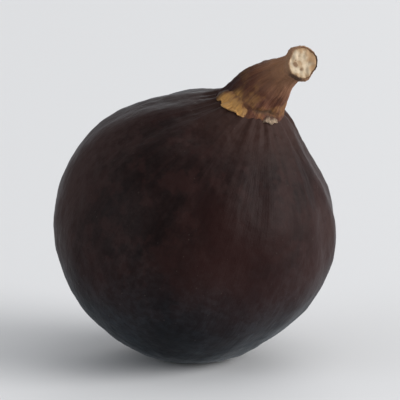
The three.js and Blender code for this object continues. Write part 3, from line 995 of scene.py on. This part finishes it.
# %% [markdown]
# ## Lengthwise streaks
# Skin, bark and bracts all show streaks that follow the way they grew. The noise is read not from plain space
# but from the turn round the piece and the way along it. The way along is squeezed, so that every speck of
# the noise is drawn out from stalk to eye.

# %% The group for lengthwise streaks
streaks, given, made = new_group(
    "Lengthwise streaks",
    [("Flow", "Vector", None), ("Round", "Float", 9.0), ("Along", "Float", 2.0), ("Detail", "Float", 3.0)],
    [("Streaks", "Float")],
)
flow_parts = parts_of(streaks, given["Flow"])
drawn_out = add_node(streaks, "CombineXYZ", {
    0: times(streaks, flow_parts[0], given["Round"]),
    1: times(streaks, flow_parts[1], given["Round"]),
    2: times(streaks, flow_parts[2], given["Along"]),
}).outputs[0]
speckled = noise_at(streaks, drawn_out, 1.0, given["Detail"], 0.6)
streaks.links.new(ramp(streaks, speckled, 0.3, 0.72), made["Streaks"])


def streaks_at(tree, flow, rounds, along):
    """Streaks for a finish: more rounds make them finer, and more along makes them shorter."""
    return place_group(tree, streaks, {"Flow": flow, "Round": rounds, "Along": along})["Streaks"]


# %% [markdown]
# ## Waxy bloom
# Bloom is the dust that a ripe fig is covered with: thick in patches, powdery close up, drawn out a little
# along the fruit, and thin where a finger rubbed it off. The finishes also take it off where they paint
# shade, so that the painted shade stays dark. The group gives the dusted colour and also its mask, because
# dust changes how rough the surface is as well as its colour.

# %% The group for waxy bloom
DUST_PATCHES, DUST_POWDER = 85.0, 900.0  # noise scales

bloom, given, made = new_group(
    "Waxy bloom",
    [
        ("Place", "Vector", None), ("Streaks", "Float", 0.5), ("Under", "Color", (0.02, 0.01, 0.01, 1)),
        ("Bloom", "Color", (0.1, 0.1, 0.12, 1)), ("Amount", "Float", 0.5), ("Rubbed", "Float", 0.0),
    ],
    [("Color", "Color"), ("Mask", "Float")],
)
thick = ramp(bloom, noise_at(bloom, given["Place"], DUST_PATCHES, 4.0, 0.55), 0.32, 0.7, 0.35, 1.0)
powder = ramp(bloom, noise_at(bloom, given["Place"], DUST_POWDER, 5.0, 0.7), 0.36, 0.66, 0.3, 1.0)
drawn_out = plus(bloom, times(bloom, given["Streaks"], 0.3), 0.72)
# Bloom is taken off where it was rubbed, and where a finish paints shade.
kept = math_node(bloom, "SUBTRACT", 1.0, given["Rubbed"])
cover = times(bloom, thick, powder, drawn_out, given["Amount"], kept)
bloom.links.new(blend_colors(bloom, cover, given["Under"], given["Bloom"]), made["Color"])
bloom.links.new(cover, made["Mask"])

# %% [markdown]
# ## Pale specks
# The pores of the skin show as small pale dots at random places. A Voronoi texture gives every cell a middle
# and random lots. The lots decide which cells hold a dot, how large it is and how strong, because dots that
# are all alike look printed.

# %% The group for pale specks
specks, given, made = new_group(
    "Pale specks",
    [("Place", "Vector", None), ("Scale", "Float", 600.0), ("Size", "Float", 0.16), ("Share", "Float", 0.5)],
    [("Specks", "Float")],
)
cells = add_node(specks, "TexVoronoi", {"Vector": given["Place"], "Scale": given["Scale"], "Randomness": 1.0})
lots = add_node(specks, "SeparateColor", {0: cells.outputs["Color"]}).outputs
dot_size = times(specks, plus(specks, times(specks, lots[1], 0.9), 0.4), given["Size"])
near = math_node(specks, "DIVIDE", cells.outputs["Distance"], dot_size)
strength = ramp(specks, lots[2], 0.0, 1.0, 0.4, 1.0)
chosen = math_node(specks, "LESS_THAN", lots[0], given["Share"])
dots = times(specks, ramp(specks, near, 0.4, 1.0, 1.0, 0.0), strength, chosen)
specks.links.new(dots, made["Specks"])

# %% [markdown]
# ## Fine grain
# Every natural surface is rough at a scale too fine for the mesh. Two sizes of noise make that roughness, and
# it feeds only the bump, which bends the light without moving the surface.

# %% The group for fine grain
grain, given, made = new_group(
    "Fine grain",
    [("Place", "Vector", None), ("Coarse", "Float", 1400.0), ("Fine", "Float", 5200.0)],
    [("Height", "Float")],
)
coarse = noise_at(grain, given["Place"], given["Coarse"], 3.0)
fine = noise_at(grain, given["Place"], given["Fine"], 2.0)
grain.links.new(plus(grain, coarse, times(grain, fine, 0.4)), made["Height"])


def grain_at(tree, place, coarse, fine):
    return place_group(tree, grain, {"Place": place, "Coarse": coarse, "Fine": fine})["Height"]


# %% [markdown]
# ## A material to start from
# Every finish is one Principled shader. What is the same all over, such as how strong the soft sheen of the
# dust is, is set on the shader itself. What changes over the surface comes in through its sockets: colour,
# roughness and the bump. The bump's depth is how high its full range stands, in metres.

# %% Material helpers
def new_material(name, sheen=0.0, sheen_roughness=0.5, sheen_tint=(1, 1, 1, 1), specular=0.5):
    material = bpy.data.materials.new(name)
    material.use_nodes = True
    shader = material.node_tree.nodes["Principled BSDF"]
    shader.inputs["Sheen Weight"].default_value = sheen
    shader.inputs["Sheen Roughness"].default_value = sheen_roughness
    shader.inputs["Sheen Tint"].default_value = sheen_tint
    shader.inputs["Specular IOR Level"].default_value = specular
    print("finish:", name)
    return material, material.node_tree, shader


def finish_shader(tree, shader, color, roughness, height, bump, depth):
    tree.links.new(color, shader.inputs["Base Color"])
    tree.links.new(roughness, shader.inputs["Roughness"])
    normal = add_node(tree, "Bump", {"Height": height, "Strength": bump, "Distance": depth}).outputs[0]
    tree.links.new(normal, shader.inputs["Normal"])
    print(f"  wired from {len(tree.nodes)} nodes, with a bump {depth / MM:.2f} mm deep")


# %% [markdown]
# ## The skin's finish
# The skin itself is nearly black, with purple-brown in it, browner towards the neck and redder on one cheek.
# Low down it is painted a colder black, which is painted cool reflected light. Bloom lies over it as a thin
# veil of warm grey. Low down the veil is painted blue-grey, the same painted cool reflected light. The veil
# is not only a colour: dusty skin is rougher than skin with the bloom taken off, so the same mask drives the
# roughness. At the rim the dust catches light and looks paler, which is what the shader's sheen is for.

# %% The skin's colours
SKIN_DARK = (0.0055, 0.0028, 0.0027, 1)
SKIN_PURPLE = (0.0212, 0.0085, 0.0076, 1)
SKIN_NECK = (0.034, 0.0155, 0.0115, 1)
# Painted cool reflected light: the colder black that the skin is painted low down.
SKIN_PAINTED_COOL = (0.0052, 0.0066, 0.0084, 1)
SKIN_BLUSH = (0.0155, 0.0048, 0.0042, 1)
SKIN_CLOUDS, SKIN_MOTTLE = 48.0, 330.0  # noise scales
# The heights of the painted cool reflected light on the skin.
PAINTED_COOL_UP_TO, PAINTED_COOL_GONE_AT = 0.011, 0.024  # the heights in metres between which the colder black fades out
CLOUDY_EDGE = 0.014  # how far the clouds shift those heights

skin, tree, shader = new_material(
    "Bloomy fig skin", sheen=0.14, sheen_roughness=0.28, sheen_tint=(0.84, 0.91, 0.97, 1), specular=0.05
)
flow, place = flow_of(tree), object_place(tree)
long_streaks = streaks_at(tree, flow, rounds=13.0, along=2.6)
fine_streaks = streaks_at(tree, flow, rounds=46.0, along=6.0)
clouds = noise_at(tree, place, SKIN_CLOUDS, 3.0)
mottle = noise_at(tree, place, SKIN_MOTTLE, 3.0, 0.6)
cloudy_height = plus(tree, parts_of(tree, place)[2], times(tree, clouds, CLOUDY_EDGE))
skin_tone = tinted(tree, SKIN_DARK, SKIN_PURPLE, clouds, 0.35, 0.65)
skin_tone = blend_colors(tree, times(tree, long_streaks, 0.4), skin_tone, SKIN_PURPLE)
skin_tone = tinted(tree, skin_tone, SKIN_PURPLE, mottle, 0.48, 0.64, 0.0, 0.7)
skin_tone = tinted(tree, skin_tone, SKIN_NECK, parts_of(tree, flow)[2], 0.05, 0.2, 0.85, 0.0)
skin_tone = blend_colors(tree, times(tree, carried(tree, "blush"), 0.7), skin_tone, SKIN_BLUSH)
# Painted cool reflected light: low down, the skin is tinted a colder black.
skin_tone = tinted(tree, skin_tone, SKIN_PAINTED_COOL, cloudy_height, PAINTED_COOL_UP_TO, PAINTED_COOL_GONE_AT, 0.85, 0.0)

# %% The skin's bloom, pores and grain
BLOOM_WARM = (0.066, 0.046, 0.042, 1)
# Painted cool reflected light: the blue-grey that the bloom is painted low down.
BLOOM_PAINTED_COOL = (0.063, 0.081, 0.098, 1)
SPECK_PALE = (0.075, 0.056, 0.048, 1)
# The heights of the painted cool reflected light on the bloom.
DUST_PAINTED_COOL_UP_TO, DUST_PAINTED_COOL_GONE_AT = 0.01, 0.029  # the heights in metres between which the dust turns warm

dusted = place_group(tree, bloom, {
    "Place": place,
    "Streaks": times(tree, plus(tree, long_streaks, fine_streaks), 0.5),
    "Under": skin_tone,
    # The bloom's warm grey, painted blue-grey low down as cool reflected light.
    "Bloom": tinted(tree, BLOOM_PAINTED_COOL, BLOOM_WARM, cloudy_height, DUST_PAINTED_COOL_UP_TO, DUST_PAINTED_COOL_GONE_AT),
    "Amount": 0.5,
    # Bloom is taken off where it was rubbed, and as painted shade on the side facing the camera.
    "Rubbed": times(tree, carried(tree, "rubbed"), 0.85),
})
pores = place_group(tree, specks, {"Place": place, "Scale": 1150.0, "Size": 0.13, "Share": 0.5})["Specks"]
skin_color = blend_colors(tree, times(tree, pores, 0.4), dusted["Color"], SPECK_PALE)
skin_rough = ramp(tree, dusted["Mask"], 0.0, 0.5, 0.46, 0.7)
skin_height = grain_at(tree, place, coarse=1300.0, fine=5000.0)
skin_height = plus(tree, skin_height, times(tree, fine_streaks, 0.25), times(tree, pores, 0.6))
finish_shader(tree, shader, skin_color, skin_rough, skin_height, bump=0.35, depth=0.00012)
fruit.data.materials.append(skin)

# %% [markdown]
# ## The bark's finish
# The stalk is reddish brown and turns tan towards the cut. That tan is partly its own colour and partly
# painted light. It has streaky ochre patches near the foot and small ones all over it. One flank has a dark
# red painted shadow, the crease has grey painted shade, and the edge round the cut has near black painted
# shade at two sides. The streaks run along it as its fibres do. The dry, shaded and creased places come from
# the mesh, so that each colour lies exactly where the form has its reason for it.

# %% The bark's colours
BARK_BROWN = (0.122, 0.044, 0.021, 1)
BARK_RED = (0.042, 0.01, 0.0068, 1)
BARK_OCHRE = (0.36, 0.185, 0.052, 1)
# Tan towards the cut: partly the bark's own colour and partly painted light.
BARK_TAN_AND_LIGHT = (0.31, 0.16, 0.085, 1)
# Painted shade: the near black at two sides of the cut.
BARK_SHADE = (0.03, 0.015, 0.01, 1)
BARK_END = (0.24, 0.135, 0.075, 1)
# Painted shade: the grey in the crease.
PAINTED_CREASE_SHADE = (0.045, 0.034, 0.027, 1)
# Painted shadow: the dark red of the shaded flank.
SHADOW_RED = (0.016, 0.0035, 0.0035, 1)
BARK_BLOTCH = 330.0  # a noise scale

bark, tree, shader = new_material(
    "Stalk bark", sheen=0.03, sheen_roughness=0.5, sheen_tint=(0.9, 0.8, 0.75, 1), specular=0.15
)
flow, place = flow_of(tree), object_place(tree)
upwards = parts_of(tree, flow)[2]
fibres = streaks_at(tree, flow, rounds=4.5, along=2.2)
fine_fibres = streaks_at(tree, flow, rounds=17.0, along=7.0)
blotch = noise_at(tree, place, BARK_BLOTCH, 4.0)
shadowed_flank, crease = carried(tree, "dark_flank"), carried(tree, "crease")
streaky = ramp(tree, fine_fibres, 0.15, 0.75, 0.4, 1.0)
dry_patch = ramp(tree, carried(tree, "dry_foot"), 0.15, 0.8)
dry_patch = times(tree, dry_patch, ramp(tree, blotch, 0.2, 0.5, 0.6, 1.0), streaky)
dry_fleck = times(tree, ramp(tree, blotch, 0.54, 0.68, 0.0, 0.4), streaky)
ragged_end = plus(tree, upwards, times(tree, blotch, 0.03))
bark_tone = blend_colors(tree, fibres, BARK_RED, BARK_BROWN)
bark_tone = blend_colors(tree, dry_fleck, bark_tone, BARK_OCHRE)
# Tan towards the cut: partly the bark's own colour and partly painted light.
bark_tone = tinted(tree, bark_tone, BARK_TAN_AND_LIGHT, upwards, 0.4, 0.8, 0.0, 0.65)
# Painted shadow, dark red, on one flank.
bark_tone = tinted(tree, bark_tone, SHADOW_RED, shadowed_flank, 0.15, 0.9, 0.0, 0.9)
bark_tone = blend_colors(tree, dry_patch, bark_tone, BARK_OCHRE)
# Painted shade in the crease.
bark_tone = tinted(tree, bark_tone, PAINTED_CREASE_SHADE, crease, 0.3, 1.0, 0.0, 0.6)
bark_tone = tinted(tree, bark_tone, BARK_END, ragged_end, 0.95, 1.0, 0.0, 0.8)
# Painted shade at two sides of the cut.
bark_tone = tinted(tree, bark_tone, BARK_SHADE, carried(tree, "dark_end"), 0.2, 0.9, 0.0, 0.9)

# %% The bark's dust and grain
BARK_BLOOM = (0.36, 0.2, 0.135, 1)

# Bloom is taken off under the painted shadow and the painted crease shade.
dusted = place_group(tree, bloom, {
    "Place": place, "Streaks": fine_fibres, "Under": bark_tone, "Bloom": BARK_BLOOM, "Amount": 0.16,
    "Rubbed": math_node(tree, "MAXIMUM", shadowed_flank, crease),
})
bark_rough = ramp(tree, fine_fibres, 0.0, 1.0, 0.58, 0.8)
bark_height = plus(tree, grain_at(tree, place, coarse=1900.0, fine=6500.0), fine_fibres)
finish_shader(tree, shader, dusted["Color"], bark_rough, bark_height, bump=0.6, depth=0.00014)
stalk.data.materials.append(bark)

# %% [markdown]
# ## The cut end's finish
# The pith is cream, it turns tan towards one side, and the vessel ends are dark brown. The ring just inside
# the bark is orange-tan. The pits made in the mesh and the dark spots use one and the same attribute, so they
# cannot drift apart.

# %% The cut end's material
PITH_CREAM = (0.45, 0.36, 0.25, 1)
PITH_TAN = (0.3, 0.185, 0.095, 1)
VESSEL_BROWN = (0.14, 0.07, 0.03, 1)
RIM_BROWN = (0.17, 0.095, 0.05, 1)
PITH_MOTTLE = 900.0  # a noise scale

pith, tree, shader = new_material(
    "Dried cut pith", sheen=0.1, sheen_roughness=0.5, sheen_tint=(1, 0.95, 0.85, 1), specular=0.3
)
place = object_place(tree)
mottle = noise_at(tree, place, PITH_MOTTLE, 5.0)
ragged_rim = plus(tree, carried(tree, "from_middle"), times(tree, mottle, 0.16))
pith_tone = tinted(tree, PITH_CREAM, PITH_TAN, mottle, 0.45, 0.7, 0.0, 0.75)
pith_tone = tinted(tree, pith_tone, PITH_TAN, carried(tree, "yellowed"), 0.2, 0.75)
pith_tone = tinted(tree, pith_tone, VESSEL_BROWN, carried(tree, "vessel_end"), 0.15, 0.75, 0.0, 0.9)
pith_tone = tinted(tree, pith_tone, PITH_TAN, ragged_rim, 0.85, 1.05, 0.0, 0.6)
pith_tone = tinted(tree, pith_tone, RIM_BROWN, ragged_rim, 0.97, 1.1, 0.0, 0.85)
pith_rough = ramp(tree, mottle, 0.3, 0.7, 0.6, 0.85)
fluff = grain_at(tree, place, coarse=2400.0, fine=7000.0)
finish_shader(tree, shader, pith_tone, pith_rough, fluff, bump=0.6, depth=0.0001)
cut_face.data.materials.append(pith)

# %% [markdown]
# ## The finishes of the bracts and the eye
# Both are dry, papery scales: at the root they still have the bark's colour, and they turn ochre, pale or
# red-brown towards the tip and the edges, where they have dried out. Fibres run along them. Where the stalk's
# painted shadow reaches a bract, the bract is painted dark red too. One function makes all three finishes,
# each from its own colours.

# %% A papery finish
DRYING = 0.4  # the share of a scale's length over which its root colour turns into its tip colour


def papery(name, root_color, tip_color, edge_color, bloom_color, dry_from=0.35, edge_from=0.7):
    material, tree, shader = new_material(
        name, sheen=0.08, sheen_roughness=0.5, sheen_tint=(1, 0.9, 0.8, 1), specular=0.2
    )
    flow, place = flow_of(tree), object_place(tree)
    flow_parts = parts_of(tree, flow)
    fibres = streaks_at(tree, flow, rounds=7.0, along=1.2)
    fine_fibres = streaks_at(tree, flow, rounds=24.0, along=2.5)
    ragged = plus(tree, flow_parts[2], times(tree, fibres, 0.25))
    off_middle = math_node(tree, "ABSOLUTE", flow_parts[0])
    shadowed_flank = carried(tree, "dark_flank")
    tone = tinted(tree, root_color, tip_color, ragged, dry_from, dry_from + DRYING)
    tone = blend_colors(tree, times(tree, fibres, 0.4), tone, root_color)
    tone = tinted(tree, tone, edge_color, fine_fibres, 0.35, 0.9, 0.0, 0.45)
    tone = tinted(tree, tone, edge_color, off_middle, edge_from, 1.0, 0.0, 0.8)
    # Painted shadow, dark red, where the stalk's shaded flank reaches the bract.
    tone = tinted(tree, tone, SHADOW_RED, shadowed_flank, 0.84, 0.985, 0.0, 0.95)
    clean_root = ramp(tree, ragged, dry_from, dry_from + DRYING, 0.8, 0.0)
    # Bloom is taken off at the clean root and under the painted shadow.
    dusted = place_group(tree, bloom, {
        "Place": place, "Streaks": fibres, "Under": tone, "Bloom": bloom_color, "Amount": 0.3,
        "Rubbed": math_node(tree, "MAXIMUM", ramp(tree, shadowed_flank, 0.6, 0.9), clean_root),
    })
    rough = ramp(tree, fibres, 0.0, 1.0, 0.55, 0.8)
    rasp = grain_at(tree, place, coarse=2200.0, fine=7000.0)
    height = plus(tree, rasp, plus(tree, fibres, fine_fibres))
    finish_shader(tree, shader, dusted["Color"], rough, height, bump=0.7, depth=0.00012)
    return material


# %% The materials of the bracts and of the eye
ochre_bract = papery(
    "Ochre bract",
    root_color=(0.17, 0.07, 0.03, 1),
    tip_color=(0.58, 0.3, 0.08, 1),
    edge_color=(0.18, 0.08, 0.033, 1),
    bloom_color=(0.5, 0.32, 0.15, 1),
    dry_from=0.3,
    edge_from=0.6,
)
pale_bract = papery(
    "Pale bract",
    root_color=(0.08, 0.035, 0.023, 1),
    tip_color=(0.4, 0.3, 0.205, 1),
    edge_color=(0.15, 0.085, 0.058, 1),
    bloom_color=(0.36, 0.27, 0.19, 1),
    dry_from=0.4,
    edge_from=0.35,
)
eye_dry = papery(
    "Dry eye scale",
    root_color=(0.045, 0.014, 0.012, 1),
    tip_color=(0.11, 0.042, 0.027, 1),
    edge_color=(0.17, 0.09, 0.056, 1),
    bloom_color=(0.15, 0.105, 0.095, 1),
)
finishes = (ochre_bract, pale_bract, ochre_bract, eye_dry, eye_dry)
for piece, finish in zip((*bracts, eye_scales, eye_core), finishes):
    piece.data.materials.append(finish)

# %% [markdown]
# ## The floor
# The fig lies on a plain pale floor. It is large enough to have no edge in any view, and it is marked as
# stage, because it isn't part of the fig.

# %% The floor
FLOOR_PALE = (0.7, 0.7, 0.705, 1)
FLOOR_HALF = 3.0

floor_mesh = bpy.data.meshes.new("floor")
floor_corners = [(x * FLOOR_HALF, y * FLOOR_HALF, 0) for x, y in ((-1, -1), (1, -1), (1, 1), (-1, 1))]
floor_mesh.from_pydata(floor_corners, [], [(0, 1, 2, 3)])
floor = bpy.data.objects.new("floor", floor_mesh)
bpy.context.scene.collection.objects.link(floor)
paper, tree, shader = new_material("Pale floor", specular=0.2)
shader.inputs["Base Color"].default_value = FLOOR_PALE
shader.inputs["Roughness"].default_value = 0.8
floor_mesh.materials.append(paper)
floor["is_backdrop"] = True
print(f"floor: {2 * FLOOR_HALF:.0f} m wide")

# %% [markdown]
# ## The light
# A dark, dusty fruit needs big lights: they draw broad, quiet highlights that show the form, where a small
# lamp would leave a hard white dot. The main light stands at the right, a weaker and cooler one fills the
# left, one hangs overhead, and one behind parts the fruit from the floor. The sky fills what is left.

# %% The lights
def soft_light(name, watts, size, at, aim, color=(1, 1, 1)):
    lamp = bpy.data.lights.new(name, "AREA")
    lamp.shape = "DISK"
    lamp.energy = watts
    lamp.size = size
    lamp.color = color
    light = bpy.data.objects.new(name, lamp)
    light.location = at
    light.rotation_euler = (Vector(aim) - Vector(at)).to_track_quat("-Z", "Y").to_euler()
    bpy.context.scene.collection.objects.link(light)


MIDDLE = (0, 0, middle_height * MM)
soft_light("overhead", 3.5, 1.4, (0.5, 0.1, 1.5), MIDDLE)
soft_light("right_front", 36, 1.3, (1.5, -0.4, 0.5), MIDDLE)
soft_light("left_fill", 6, 1.0, (-1.3, -0.5, 0.3), MIDDLE, (0.88, 0.94, 1))
soft_light("back_rim", 5, 1.0, (0.3, 1.3, 0.7), MIDDLE)

SKY_COLOR, SKY_STRENGTH = (0.9, 0.92, 0.95, 1), 0.48
sky = bpy.data.worlds.new("studio")
sky.use_nodes = True
sky.node_tree.nodes["Background"].inputs[0].default_value = SKY_COLOR
sky.node_tree.nodes["Background"].inputs[1].default_value = SKY_STRENGTH
bpy.context.scene.world = sky
bpy.context.scene.view_settings.view_transform = "Standard"

# %% [markdown]
# ## The camera
# The camera looks a little down on the fig. A short lens close by would stretch the near side of a round
# form, so a long lens looks from farther away.

# %% The camera
CAMERA_RISE = 12.0
CAMERA_FAR = 0.7
CAMERA_LENS = 440
CAMERA_AIM = (0.0008, 0.0, 0.0228)

camera_data = bpy.data.cameras.new("camera")
camera_data.lens = CAMERA_LENS
camera_data.clip_start = 0.01
camera = bpy.data.objects.new("camera", camera_data)
rise = math.radians(CAMERA_RISE)
back = Vector((0, -math.cos(rise), math.sin(rise)))
camera.location = Vector(CAMERA_AIM) + back * CAMERA_FAR
camera.rotation_euler = (-back).to_track_quat("-Z", "Y").to_euler()
bpy.context.scene.collection.objects.link(camera)
bpy.context.scene.camera = camera
print("camera:", [round(x, 3) for x in camera.location])

# %% Print the two boxes and finish
shown_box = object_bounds()
boxes = {"cad": [list(map(float, corner)) for corner in packed_box]}
boxes["visual"] = [list(map(float, corner)) for corner in shown_box]
for name, (low, high) in boxes.items():
    print(name, "box in mm:", [round((b - a) / MM, 2) for a, b in zip(low, high)])
